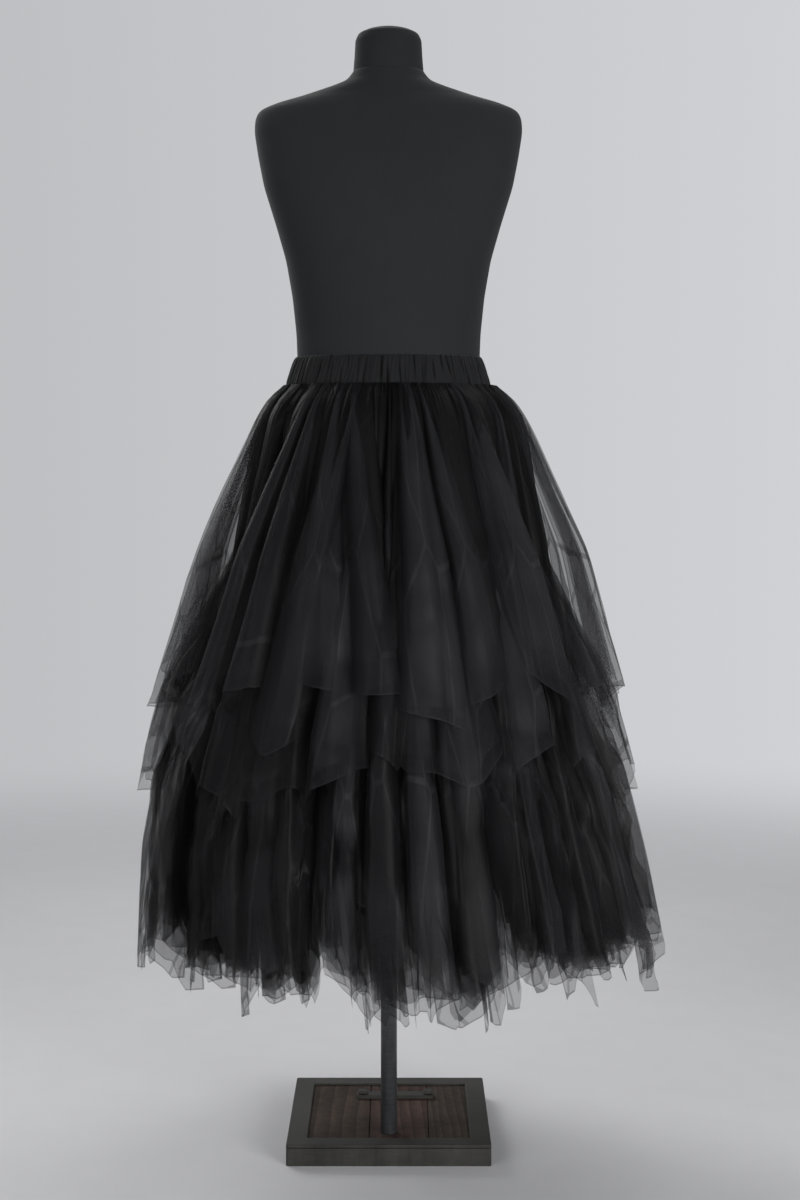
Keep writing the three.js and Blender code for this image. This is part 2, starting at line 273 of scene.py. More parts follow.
def tulleMaterial():
    # Net whose cover grows with the layers it stands for: 1 - (1 - cover of one) ** layers. Inner layers
    # end inside the cut edges along zigzags of a rise, period and slope. Creases and edges are denser
    look = {"colour": (0.0105, 0.0105, 0.0118), "open": 0.20, "thread": 0.34, "crease": 0.22, "edge": 0.28,
            "edgeWidth": 0.0016, "creaseWidth": 0.022, "creaseScale": (20, 5, 1), "creaseTurn": (0, 0, 0.25),
            "cloudScale": 14.0, "clouds": (0.8, 0.6),
            "innerEdges": [(0.008, 0.047, 0.35), (0.022, 0.061, 0.45), (0.040, 0.039, 0.60)]}
    material, tree, shader = newMaterial("blackTulle", **{
        "Roughness": 0.5, "Sheen Weight": 0.05, "Sheen Roughness": 0.35, "Specular IOR Level": 0.10})
    cloth = uvVector(tree)
    net = useGroup(tree, "net", Vector=cloth)
    cloudy = scaled(tree, noise(tree, cloth, look["cloudScale"], 1.0), *look["clouds"])
    # The points' tone holds painted shade and highlight over lobes, folds, creases, slits and inner plies
    toned(tree, shader, look["colour"], product(tree, cloudy, pointValue(tree, "tone")))
    inside, layers = pointValue(tree, "fromEdge"), pointValue(tree, "layers")
    along = addNode(tree, "ShaderNodeSeparateXYZ", {0: cloth}).outputs[0]
    present = None
    for rise, period, slope in look["innerEdges"]:
        zigzag = maths(tree, "PINGPONG", maths(tree, "ADD", along, rise * 7), period)
        step = maths(tree, "GREATER_THAN", inside, scaled(tree, zigzag, slope, rise))
        present = step if present is None else maths(tree, "ADD", present, step)
    more = product(tree, maths(tree, "SUBTRACT", layers, 1.0), 1 / len(look["innerEdges"]))
    total = scaled(tree, present, more, 1.0)
    crumple = addNode(tree, "ShaderNodeMapping", {
        "Vector": cloth, "Scale": look["creaseScale"], "Rotation": look["creaseTurn"]}).outputs[0]
    facets = addNode(tree, "ShaderNodeTexVoronoi", {"Vector": crumple, "Scale": 1.0},
                     feature="DISTANCE_TO_EDGE", voronoi_dimensions="2D").outputs["Distance"]
    fold = product(tree, maths(tree, "LESS_THAN", facets, look["creaseWidth"]), look["crease"])
    rim = product(tree, maths(tree, "LESS_THAN", inside, look["edgeWidth"]), look["edge"])
    cover = scaled(tree, net["Thread"], look["thread"], look["open"])
    cover = maths(tree, "ADD", cover, maths(tree, "MAXIMUM", fold, rim))
    clear = maths(tree, "POWER", maths(tree, "SUBTRACT", 1.0, cover), total)
    tree.links.new(maths(tree, "SUBTRACT", 1.0, clear), shader.inputs["Alpha"])
    return material


def bandMaterial():
    # Plain cotton weave, with painted shade making the pinches darker
    look = {"colour": (0.0080, 0.0082, 0.0090), "thread": 0.0007, "patches": (25.0, 0.2),
            "relief": (0.35, 0.0003)}
    material, tree, shader = newMaterial("bandCotton", **{
        "Roughness": 0.8, "Sheen Weight": 0.06, "Sheen Roughness": 0.4, "Specular IOR Level": 0.15})
    weave = useGroup(tree, "weave", Vector=uvVector(tree), Cell=look["thread"])
    tone = patchy(tree, *look["patches"])["Tone"]
    toned(tree, shader, look["colour"], product(tree, weave["Tone"], tone, pointValue(tree, "tone")))
    bumped(tree, shader, weave["Height"], *look["relief"])
    return material


def jerseyMaterial():
    # Fine knit, with a sewn seam either side of the front and back. A seam is where the distance round
    # from the middle is near a line that leans outwards as it rises
    look = {"colour": (0.0125, 0.0135, 0.0150), "stitch": 0.0011, "patches": (4.0, 0.08),
            "relief": (0.25, 0.0003)}
    seam = {"atWaist": 0.128, "lean": 0.24, "waist": 1.17, "width": 0.0011, "repeat": math.pi * 0.15,
            "dark": 0.35, "sunk": 3.0}
    material, tree, shader = newMaterial("formJersey", **{
        "Roughness": 0.85, "Sheen Weight": 0.06, "Sheen Roughness": 0.4, "Specular IOR Level": 0.18})
    cloth = uvVector(tree)
    weave = useGroup(tree, "weave", Vector=cloth, Cell=look["stitch"])
    tone = patchy(tree, *look["patches"])["Tone"]
    split = addNode(tree, "ShaderNodeSeparateXYZ", {0: cloth}).outputs
    aside = maths(tree, "PINGPONG", split[0], seam["repeat"] / 2)
    seamAt = scaled(tree, maths(tree, "SUBTRACT", split[1], seam["waist"]), seam["lean"], seam["atWaist"])
    sewn = lineMask(tree, aside, seamAt, seam["width"])
    toned(tree, shader, look["colour"],
          product(tree, weave["Tone"], tone, scaled(tree, sewn, -seam["dark"], 1.0)))
    height = maths(tree, "SUBTRACT", weave["Height"], product(tree, sewn, seam["sunk"]))
    bumped(tree, shader, height, *look["relief"])
    return material


def steelMaterial(name, colour, metallic, smooth):
    # Oiled mill-finish steel: cloudy tone, long drawn streaks, and a painted shadow, a dark line in the
    # groove under the frame's flange, which the bump also sinks
    look = {"patches": (14.0, 0.45, (1, 1, 0.3)), "streaks": (30, 30, 380), "streaked": (0.7, 0.65),
            "gloss": 0.25, "relief": (0.15, 0.0004)}
    paintedFlangeShadow = {"height": 0.0272, "width": 0.0011, "dark": 0.75, "sunk": 2.0}
    material, tree, shader = newMaterial(name, **{"Metallic": metallic, "Specular IOR Level": 0.35})
    patches = patchy(tree, *look["patches"])
    streaks = noise(tree, objectVector(tree, look["streaks"]), 1.0, 3.0)
    height = addNode(tree, "ShaderNodeSeparateXYZ", {0: objectVector(tree)}).outputs[2]
    # Painted shadow: darker along the height of the groove under the flange, on each piece in this steel
    line = lineMask(tree, height, paintedFlangeShadow["height"], paintedFlangeShadow["width"])
    streaked = scaled(tree, streaks, *look["streaked"])
    toned(tree, shader, colour,
          product(tree, patches["Tone"], streaked, scaled(tree, line, -paintedFlangeShadow["dark"], 1.0)))
    tree.links.new(scaled(tree, patches["Height"], look["gloss"], smooth), shader.inputs["Roughness"])
    relief = maths(tree, "SUBTRACT", patches["Height"], product(tree, line, paintedFlangeShadow["sunk"]))
    bumped(tree, shader, relief, *look["relief"])
    return material


def woodMaterial(name, colour, shift, figure):
    # Long grain along Y: dark rings round a far centre, bent by noise, with fine pores and worn patches
    look = {"rings": (11, 1.3, 11), "shiftAlong": 0.35, "bend": 5.0, "ringTone": (0.5, 0.5),
            "pores": (420, 18, 420), "poreTone": (1.2, 0.4), "patches": (9.0, 0.5), "gloss": (0.3, 0.60),
            "relief": (0.3, 0.0006)}
    material, tree, shader = newMaterial(name, **{"Specular IOR Level": 0.12})
    place, moves = objectVector(tree, look["rings"]), (shift, shift * look["shiftAlong"], 0)
    moved = addNode(tree, "ShaderNodeVectorMath", {0: place, 1: moves}, operation="ADD").outputs[0]
    rings = addNode(tree, "ShaderNodeTexWave", {
        "Vector": moved, "Scale": figure, "Distortion": look["bend"], "Detail": 3.0, "Detail Scale": 1.0},
        wave_type="RINGS", rings_direction="Z", wave_profile="SAW").outputs["Fac"]
    pores = noise(tree, objectVector(tree, look["pores"]), 1.0, 3.0)
    tone = product(tree, scaled(tree, rings, *look["ringTone"]), scaled(tree, pores, *look["poreTone"]),
                   patchy(tree, *look["patches"])["Tone"])
    toned(tree, shader, colour, tone)
    tree.links.new(scaled(tree, pores, *look["gloss"]), shader.inputs["Roughness"])
    bumped(tree, shader, pores, *look["relief"])
    return material


finishes = {
    "tulle": tulleMaterial(), "band": bandMaterial(), "jersey": jerseyMaterial(),
    "steel": steelMaterial("darkSteel", (0.0270, 0.0262, 0.0232), 0.30, 0.44),
    "poleSteel": steelMaterial("poleSteel", (0.056, 0.058, 0.061), 0.55, 0.24),
    "plankLeft": woodMaterial("plankLeft", (0.053, 0.037, 0.028), 0.0, 1.3),
    "plankMiddle": woodMaterial("plankMiddle", (0.060, 0.037, 0.030), 3.1, 1.7),
    "plankRight": woodMaterial("plankRight", (0.051, 0.038, 0.029), 7.4, 2.6),
}


def dress(piece, finish, slot, *nodes):
    # The piece's finish, the body that it takes, and the solids that it stands for; the slot is not used
    piece.data.materials.clear()
    piece.data.materials.append(finishes[finish])
    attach(piece, "root")
    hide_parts(*nodes)


print("materials made")


# Skirt: the same sections as the solids, in metres, from the band down

skirtSections = {
    "z": [1.1347, 1.118, 1.090, 1.045, 0.985, 0.900, 0.800, 0.620, 0.460, 0.290],
    "across": [0.140, 0.152, 0.165, 0.182, 0.205, 0.236, 0.258, 0.300, 0.332, 0.351],
    "deep": [0.112, 0.126, 0.142, 0.162, 0.189, 0.226, 0.252, 0.296, 0.330, 0.351],
    "spread": [0.0019, 0.0029, 0.0041, 0.0050, 0.0058, 0.0070, 0.0073, 0.0075, 0.0080, 0.0090],
    "fold": [0.0015, 0.0035, 0.0055, 0.008, 0.011, 0.014, 0.017, 0.020, 0.023, 0.025],
    "lean": [0, 0, 0.001, 0.001, 0, 0.001, 0, -0.002, 0.005, 0.020],
}
skirtTop, skirtFoot = skirtSections["z"][0], skirtSections["z"][-1]
sectionCurve = {"count": 400, "width": 0.014}
easedSections = {
    key: eased(skirtSections["z"][::-1], skirtSections[key][::-1], **sectionCurve)
    for key in skirtSections if key != "z"}

# Folds all round the skirt: how many in a turn, the two slow waves that space them unevenly, how they
# bend, sway and drift on the way down, then each sheet's own folds, fine streaks and gathers at the band
folds = {
    "around": 40, "swing": 0.012, "bend": 1.1, "weakest": 0.25, "sway": (0.3, 0.9), "lap": 0.157,
    "drift": 0.012, "own": (14, 44), "ownDrift": (-3, 3), "streaks": (95, 190),
    "gathers": (170, 240), "gatherDepth": 0.0020, "gatherFade": 0.05,
}


def unit(values):
    return np.clip(values, 0, 1)


def sectionAt(key, z):
    return np.interp(z, *easedSections[key])


def unevenly(turn, sign):
    # Even steps of turn moved by two slow waves, sign 1, or moved back by them, sign -1
    swing = sign * folds["swing"]
    return turn + swing * np.sin(7 * turn + 1) + swing * np.sin(11 * turn)


def ovalPoints(angle, z, outward, across, deep, lean=0):
    # Points of an oval section at height z, moved outwards along the oval's own normal
    nx, ny = np.sin(angle) / across, -np.cos(angle) / deep
    length = np.hypot(nx, ny)
    x = lean + across * np.sin(angle) + nx / length * outward
    y = -deep * np.cos(angle) + ny / length * outward
    return np.stack([x, y, z + 0 * angle], -1)


def sinkAt(angle, z, style):
    # How far the dense inner plies stand back from the solid, so that the loose outer one shows round
    # them: not at all at the band, and below it most at the sides and in uneven patches
    patches = 0.5 + 0.5 * np.sin(3 * angle + 0.6) * np.sin(5 * angle + 2.0)
    aside = 0.65 * np.sin(angle) ** 2 + 0.35 * patches
    return unit((1.09 - z) / 0.20) * (style["sink"] + style["sinkAside"] * aside)


def hemOf(node):
    # Angle of each column of a panel's solid, two to a fold, and the lowest height of the cloth there
    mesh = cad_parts[node].data
    points = np.empty(len(mesh.vertices) * 3, np.float32)
    mesh.vertices.foreach_get("co", points)
    x, y, z = points.reshape(-1, 3).T
    angle = np.arctan2(x - sectionAt("lean", z), -y * sectionAt("across", z) / sectionAt("deep", z))
    middle = np.arctan2(np.sin(angle).mean(), np.cos(angle).mean())
    angle = middle + (angle - middle + math.pi) % (2 * math.pi) - math.pi
    steps = np.round(unevenly(angle, -1) * folds["around"] / math.pi).astype(int)
    columns, column = np.unique(steps, return_inverse=True)
    hem = np.full(len(columns), np.inf)
    np.minimum.at(hem, column.ravel(), z)
    return unevenly(columns * math.pi / folds["around"], 1), hem


def creaseField(x, y, count, seed, depth):
    # Straight sharp creases, each a ridge or trough that dies away across and along its line. Most stand
    # nearly upright, and the rest lean any way
    random = np.random.default_rng(seed)
    field = np.zeros_like(x)
    for _ in range(count):
        px, py = random.uniform(x.min(), x.max()), random.uniform(y.min(), y.max())
        lean = random.normal(0, 0.5) if random.random() < 0.7 else random.uniform(-1.5, 1.5)
        width, length = random.uniform(0.006, 0.022), random.uniform(0.04, 0.16)
        across = (x - px) * math.cos(lean) + (y - py) * math.sin(lean)
        along = (y - py) * math.cos(lean) - (x - px) * math.sin(lean)
        height = random.uniform(0.3, 1.0) * random.choice([-1, 1])
        field += height * np.exp(-np.abs(across) / width - (along / length) ** 2)
    return depth * field


def lobes(reach, count, seed):
    # Rounded lobes of uneven width side by side: how far across its lobe each place lies, from -1 to 1,
    # half of each lobe's width, and its rise, 1 along its middle and 0 at its sharp borders
    widths = np.random.default_rng(seed).uniform(0.55, 1.45, count)
    borders = np.concatenate([[0], np.cumsum(widths)]) / widths.sum() * 2 - 1
    index = np.clip(np.searchsorted(borders, reach, side="right") - 1, 0, count - 1)
    middle, half = (borders[index] + borders[index + 1]) / 2, (borders[index + 1] - borders[index]) / 2
    across = np.clip((reach - middle) / half, -1.3, 1.3)
    return across, half, 1 - np.abs(across) ** 2.2


# Heights where the cloth may lie no deeper than the depth given, clear of the form's hips
hipClearance = {"z": [0.86, 0.90, 0.94, 0.985, 1.045, 1.09, 1.1347],
                "depth": [0.200, 0.060, 0.040, 0.022, 0.012, 0.006, 0.001]}

# A column for each tier: its layer out from the section, rows of points, the width, crown and lap of its
# rounded lobes, the depth (pipe) and lap of its folds, how far dense plies sink, everywhere and aside,
# how far corners hang, how much a loose flap's hem slopes and rises, how far flaps reach out at the
# sides, the height above which they lie back, creases, streaks, flare and each sheet's own folds
tierTable = {
    "layer": (4, 2, 0), "rows": (54, 58, 78), "lobeWidth": (0.30, 0.28, 0.20), "crown": (0.055, 0.050, 0.034),
    "lobeLap": (0.20, 0.18, 0.22), "pipe": (0.20, 0.28, 0.26), "lap": (0.10, 0.12, 0.18),
    "sink": (0.010, 0.016, 0.016), "sinkAside": (0.052, 0.058, 0.056), "corner": (0.026, 0.046, 0.034),
    "slope": (0.046, 0.082, 0.050), "flapRise": (0.030, 0.085, 0.060), "sideReach": (0.006, 0.022, 0.012),
    "covered": (9, 0.70, 0.57), "creases": (18, 34, 60), "creaseDepth": (0.0050, 0.0095, 0.0110),
    "streak": (0.0002, 0.0006, 0.0013), "flare": (0.006, 0.010, 0.000), "own": (0.16, 0.45, 0.95),
}

# Plies, innermost first: share of their width at the band, hem's rise, layers of net that they stand
# for, share of the sink, distance out, tone with painted shade (dark for the inner plies, as if in shadow,
# bright for the loose flaps), hem's jag, and flap width in radians, 9 for a whole sheet
plyKeys = ("share", "rise", "layers", "sink", "out", "tone", "jag", "flap")
tierPlies = {
    "upper": [(0.85, 0.014, 4.0, 1.0, 0.000, 0.30, 0.003, 9),
              (0.35, 0.000, 1.3, 0.0, 0.004, 1.25, 0.003, 0.42)],
    "middle": [(1.0, 0.050, 4.5, 1.0, 0.000, 0.28, 0.055, 9),
               (0.4, 0.000, 1.3, 0.0, 0.006, 1.15, 0.008, 0.36)],
    "lower": [(1.0, 0.016, 6.0, 1.0, -0.004, 0.26, 0.034, 9),
              (0.8, 0.004, 3.2, 0.75, 0.000, 0.44, 0.026, 0.26),
              (0.4, 0.000, 1.2, 0.0, 0.006, 0.95, 0.036, 0.17)],
}
tiers = {tier: {key: column[k] for key, column in tierTable.items()} for k, tier in enumerate(tierPlies)}

# Sideways shift of each panel's top, in radians, from the left front round the right side to the back
topShifts = {
    "upper": [0.14, 0.10, -0.17, 0.02, -0.08, 0.10, -0.12, 0.08, -0.06, 0.12, -0.10, 0.05],
    "middle": [0.08, -0.06, 0.05, 0.08, -0.05, 0.06, -0.10, 0.08, -0.05, 0.09, -0.08, 0.04],
    "lower": [0.04, -0.04, 0.03, -0.03, 0.05, -0.05, 0.04, -0.04, 0.03, -0.05, 0.04, -0.03],
}
panelTones = {
    "upper": [0.85, 0.75, 1.35, 1.15, 1.30, 1.05, 0.90, 1.20, 0.85, 1.25, 0.95, 1.10],
    "middle": [0.80, 0.95, 1.10, 1.20, 0.95, 1.10, 0.85, 1.15, 0.95, 1.20, 0.85, 1.05],
    "lower": [0.90, 0.75, 1.05, 0.95, 0.85, 1.00, 1.05, 0.85, 1.00, 0.90, 1.05, 0.85],
}

# Every sheet: its points, torn hem, loose flaps, puffs and slits under the band, and furthest lean out
cloth = {
    "columnsPerRadian": 80, "overlap": 0.022,
    "jagWidth": 0.06, "hemDrop": 0.020, "layerGap": 0.0012,
    "flapShift": 0.12, "flapOut": 0.010, "flapTone": 0.55, "frontLayers": 0.8,
    "curl": 0.016, "curlWidth": 0.03, "lieBackOver": 0.26,
    "puffWidth": 0.30, "puffOut": 0.015, "puffStart": 0.02, "slitLengths": (0.050, 0.210), "flapUneven": 0.25,
    "fullPanel": 0.35, "leanOut": 0.028, "softness": 0.005,
}

# Painted shade and highlight in the net's tone: its weight at a lobe's borders, where the painted shade
# lies, and along its middle, lighter on the ridges of folds and creases and darker in their hollows,
# darker in the slits, and the darkest and brightest tone
paintedShadeAndHighlight = {"border": 0.12, "middle": 0.88, "folds": 0.3, "creases": 40, "slits": 0.88,
         "darkest": 0.05, "brightest": 2}


def puffsAtBand(reach, half, drop, seed):
    # Puffs side by side under the band, and the slits between them, which die away at uneven depths
    count = max(int(round(2 * half / cloth["puffWidth"])), 2)
    across, _, puff = lobes(reach, count, seed)
    lengths = np.random.default_rng(seed + 1).uniform(*cloth["slitLengths"], count)
    slitLength = lengths[np.cumsum(np.abs(np.diff(across, prepend=across[0])) > 1)]
    fade = np.exp(-(drop / slitLength) ** 1.5)
    border = unit(1 - puff)
    return cloth["puffOut"] * (0.4 - border) * fade * unit(drop / cloth["puffStart"]), border ** 3 * fade


def tullePly(style, net, panel, span, seed):
    # One sheet of net: columns across its span of the panel and rows down to its cut hem. Its distance
    # out from the oval is its layer, rounded lobes, looped-over folds, finer folds, gathers, puffs and
    # creases, less its sink, bent off softly at the furthest lean and kept clear of the form
    random, shared = np.random.default_rng(seed), np.random.default_rng(panel["seed"])
    middle, half = (span[0] + span[1]) / 2, (span[1] - span[0]) / 2
    columns = int(2 * half * cloth["columnsPerRadian"]) + 8
    reach = np.linspace(-1, 1, columns) * (1 + cloth["overlap"] / half)
    hemAt = middle + half * reach
    loose = 1.0 if net["flap"] < 1 else 0.0
    down = np.linspace(0, 1, style["rows"])[:, None] ** 0.92
    fan = net["share"] + (1 - net["share"]) * down ** 0.75
    across, lobeHalf, lobe = lobes(reach, max(int(round(2 * half / style["lobeWidth"])), 1), seed + 7)

    # Where the folds run, and where the hem is cut
    turn = unevenly(hemAt, -1)
    sway = shared.uniform(*folds["sway"]) * down * np.sin(2.6 * down + 3 * hemAt + shared.uniform(0, 6))
    bend = folds["bend"] * np.sin(6 * turn + shared.uniform(0, 6))
    phase = folds["around"] * turn + bend + sway + loose * down
    strength = wander(reach, 5, seed + 6, folds["weakest"], 1.0)
    hem = np.interp(hemAt, panel["hemAngles"], panel["hemHeights"]) + net["rise"]
    hem = hem + net["jag"] * wander(reach, max(int(2 * half / cloth["jagWidth"]), 2), seed + 1, -1, 0.8)
    rise = random.uniform(0, style["flapRise"])
    hem = hem + loose * (rise + style["slope"] * random.uniform(-1, 1) * reach)
    hem = hem - style["corner"] * (1 - unit(lobe)) ** 2
    hem = np.maximum(hem, panel["hemHeights"].min() - cloth["hemDrop"])
    z = skirtTop - (skirtTop - hem) * down
    drop = skirtTop - z
    fall = unit(drop / (skirtTop - skirtFoot))

    # Angle round the skirt, swung to and fro over the folds and lobes
    opened = unit(down * 6)
    shift = panel["shift"] + loose * random.uniform(-1, 1) * cloth["flapShift"]
    angle = middle + shift * (1 - down) ** 1.2 + half * reach * fan
    angle = angle + style["lap"] * folds["lap"] * fan * strength * opened * np.sin(phase)
    angle = angle + folds["drift"] * down * np.sin(5 * down + shared.uniform(0, 6))
    angle = angle + style["lobeLap"] * lobeHalf * half * fan * opened * np.sin(math.pi * across) / math.pi * 2

    # Distance out: layer, flap, lobes and the folds shared with the solids
    spread, fold = sectionAt("spread", z), sectionAt("fold", z)
    outward = panel["layer"] * spread + fold / 2
    outward += (net["out"] + loose * random.uniform(-0.3, 1) * cloth["flapOut"]) * (0.3 + fall)
    outward -= style["crown"] * wander(reach, 2, seed + 8, 0.6, 1.0) * (1 - lobe) * down ** 0.8
    outward += fold * style["pipe"] * strength * np.cos(phase)

    # The sheet's own folds, streaks, gathers, puffs and creases
    for _ in range(3):
        count, start = random.uniform(*folds["own"]), random.uniform(0, 6.3)
        drift = random.uniform(*folds["ownDrift"])
        outward += style["own"] * fold / 2 * np.cos(count * hemAt + start + drift * fall)
    for count in random.uniform(*folds["streaks"], 3):
        outward += style["streak"] * np.cos(count * hemAt + random.uniform(0, 6.3)) * (0.35 + down)
    gathers = random.uniform(*folds["gathers"])
    gathered = np.cos(gathers * hemAt + 2 * np.sin(9 * hemAt))
    outward += folds["gatherDepth"] * gathered * np.exp(-drop / folds["gatherFade"])
    puffed, slit = puffsAtBand(reach, half, drop, seed + 9)
    outward += puffed
    count = int(style["creases"] * (0.3 + 0.7 * half / cloth["fullPanel"]))
    sideways = (reach + 1) * 0.3 * half + 0 * z
    creases = creaseField(sideways, drop, count, seed + 2, style["creaseDepth"])
    outward += creases * unit(fall * 2.2) * (0.4 + 0.6 * down)

    # Flare, sink, curled edges and the limits
    outward += style["flare"] * down ** 4 + loose * style["sideReach"] * math.sin(middle) ** 2 * down ** 3
    under = loose * unit((z - style["covered"]) / cloth["lieBackOver"])
    outward -= (net["sink"] + under) * sinkAt(angle, z, style)
    edge = (1 + cloth["overlap"] / half - np.abs(reach)) * half
    curl = loose * np.where(reach > 0, random.uniform(0.1, 1), random.uniform(0.1, 1)) * cloth["curl"]
    outward += curl * np.exp(-edge / cloth["curlWidth"]) * down ** 1.5
    most = style["layer"] * spread + fold / 2 + cloth["leanOut"]
    outward = most - cloth["softness"] * np.logaddexp(0, (most - outward) / cloth["softness"])
    clear = np.interp(z, hipClearance["z"], hipClearance["depth"])
    outward = np.maximum(outward, cloth["layerGap"] * panel["layer"] - clear)
    grid = ovalPoints(angle, z, outward, *(sectionAt(key, z) for key in ("across", "deep", "lean")))
    grid[..., 2] += 0.3 * creases * down ** 3

    # Tone with painted shade and highlight: the ply's and panel's tone, flaps differing at random, then
    # darker at lobe borders, in fold hollows and slits, and lighter on fold and crease ridges
    tone = net["tone"] * panel["tone"] * (1 + loose * random.uniform(-1, 1) * cloth["flapTone"])
    tone = tone * (paintedShadeAndHighlight["border"] + paintedShadeAndHighlight["middle"] * unit(lobe) ** 0.8)
    tone = tone * (1 + paintedShadeAndHighlight["folds"] * strength * np.cos(phase))
    tone = tone * (1 + paintedShadeAndHighlight["creases"] * creases) * (1 - paintedShadeAndHighlight["slits"] * slit)
    layers = net["layers"] * (1 + loose * cloth["frontLayers"] * math.cos(middle) ** 2)
    return grid, layers, np.clip(tone, paintedShadeAndHighlight["darkest"], paintedShadeAndHighlight["brightest"]), loose


# Pattern of one sheet of net: a flared panel, narrower at the band than at the hem. Fullness is its hem's
# cut width over the arc that it hangs across, and ease its cut length over its straight fall
pattern = {"fullness": {"upper": 1.7, "middle": 1.7, "lower": 2.1}, "ease": 1.08, "topShare": 0.35}


def cutSize(tier, panel, net, span):
    # Hem width = arc * fullness, length = fall * ease, area = width * length * the mean of top and hem
    hem = np.interp((span[0] + span[1]) / 2, panel["hemAngles"], panel["hemHeights"]) + net["rise"]
    radius = (sectionAt("across", hem) + sectionAt("deep", hem)) / 2
    width = (span[1] - span[0] + 2 * cloth["overlap"]) * radius * pattern["fullness"][tier]
    length = (skirtTop - hem) * pattern["ease"]
    return float(width), float(length), float(width * length * (1 + pattern["topShare"]) / 2)


def tullePanel(node, tier, index):
    # The panel's dense inner ply in one sheet, and its outer plies as loose flaps side by side
    style = tiers[tier]
    hemAngles, hemHeights = hemOf(node)
    seed = 1000 * style["layer"] + 97 * index
    random = np.random.default_rng(seed + 3)
    panel = {"hemAngles": hemAngles, "hemHeights": hemHeights, "layer": style["layer"] + index % 2,
             "shift": topShifts[tier][index], "tone": panelTones[tier][index], "seed": seed + 5}
    plies, cuts = [], []
    for ply, values in enumerate(tierPlies[tier]):
        net = dict(zip(plyKeys, values))
        flaps = max(int(round((hemAngles[-1] - hemAngles[0]) / net["flap"])), 1)
        borders = np.linspace(hemAngles[0], hemAngles[-1], flaps + 1)
        uneven = random.uniform(-cloth["flapUneven"], cloth["flapUneven"], flaps - 1)
        borders[1:-1] += uneven * (borders[1] - borders[0])
        for flap in range(flaps):
            span = borders[flap:flap + 2]
            plies.append(tullePly(style, net, panel, span, seed + 11 * ply + 101 * flap))
            cuts.append(cutSize(tier, panel, net, span))
    sheetPiece(f"{tier}Tulle{index + 1:02d}", plies, cuts, node)


def sheetPiece(name, plies, cuts, *nodes):
    # One piece of several open sheets; the cut sizes given are not used. Each point
    # keeps its distance from the cut edges, how many layers of net its sheet stands for, and its tone
    points, faces, uvs, inside, count, tones, start = [], [], [], [], [], [], 0
    for grid, layers, tone, loose in plies:
        rows, columns = grid.shape[:2]
        uv = clothUv(grid)
        points.append(grid.reshape(-1, 3))
        faces.append(gridFaces(rows, columns, start=start))
        uvs.append(uv.reshape(-1, 2))
        aside = np.minimum(uv[..., 0], uv[0, -1, 0] - uv[..., 0]) if loose else 9.0
        inside.append(np.minimum(uv[-1, 0, 1] - uv[..., 1], aside).ravel())
        count.append(np.full(rows * columns, layers))
        tones.append(tone.ravel())
        start += rows * columns
    piece = addMesh(name, np.concatenate(points), np.concatenate(faces), np.concatenate(uvs))
    # The tone kept for each point carries painted shade and highlight
    for label, values in (("fromEdge", inside), ("layers", count), ("tone", tones)):
        keepForPoints(piece, label, np.concatenate(values))
    dress(piece, "tulle", "tulle", *nodes)


for tier in tiers:
    for index in range(len(topShifts[tier])):
        tullePanel(f"{tier}_panel_{index + 1:02d}", tier, index)
    print(tier, "tier hung")


# Waistband: a casing of plain cotton drawn up on elastic

band = {
    "z": [1.1325, 1.153, 1.1755], "across": [0.1472, 0.1395, 0.1332], "deep": [0.1155, 0.108, 0.1015],
    "columns": 1040, "rows": 24, "thick": 0.0022, "cutWidth": 1.28, "cutHeight": 0.040,
    "pinches": 78, "uneven": 0.42, "slant": 0.022, "pinchWidth": (0.005, 0.012),
    "pinchAt": [0.15, 0.5, 0.8], "pinchLength": (0.3, 0.8), "pinchDepth": (0.35, 1.0), "pinchIn": 1.5,
    "pinchPaintedShade": 0.92, "edgeDip": 0.0022,
    "puff": 0.0030, "seam": 0.03, "betweenSeams": 0.94, "swell": 0.35, "ripple": 0.0004,
}


def fullTurn(count):
    # Even angles once round, as one row
    return np.linspace(0, 2 * math.pi, count, endpoint=False)[None, :]


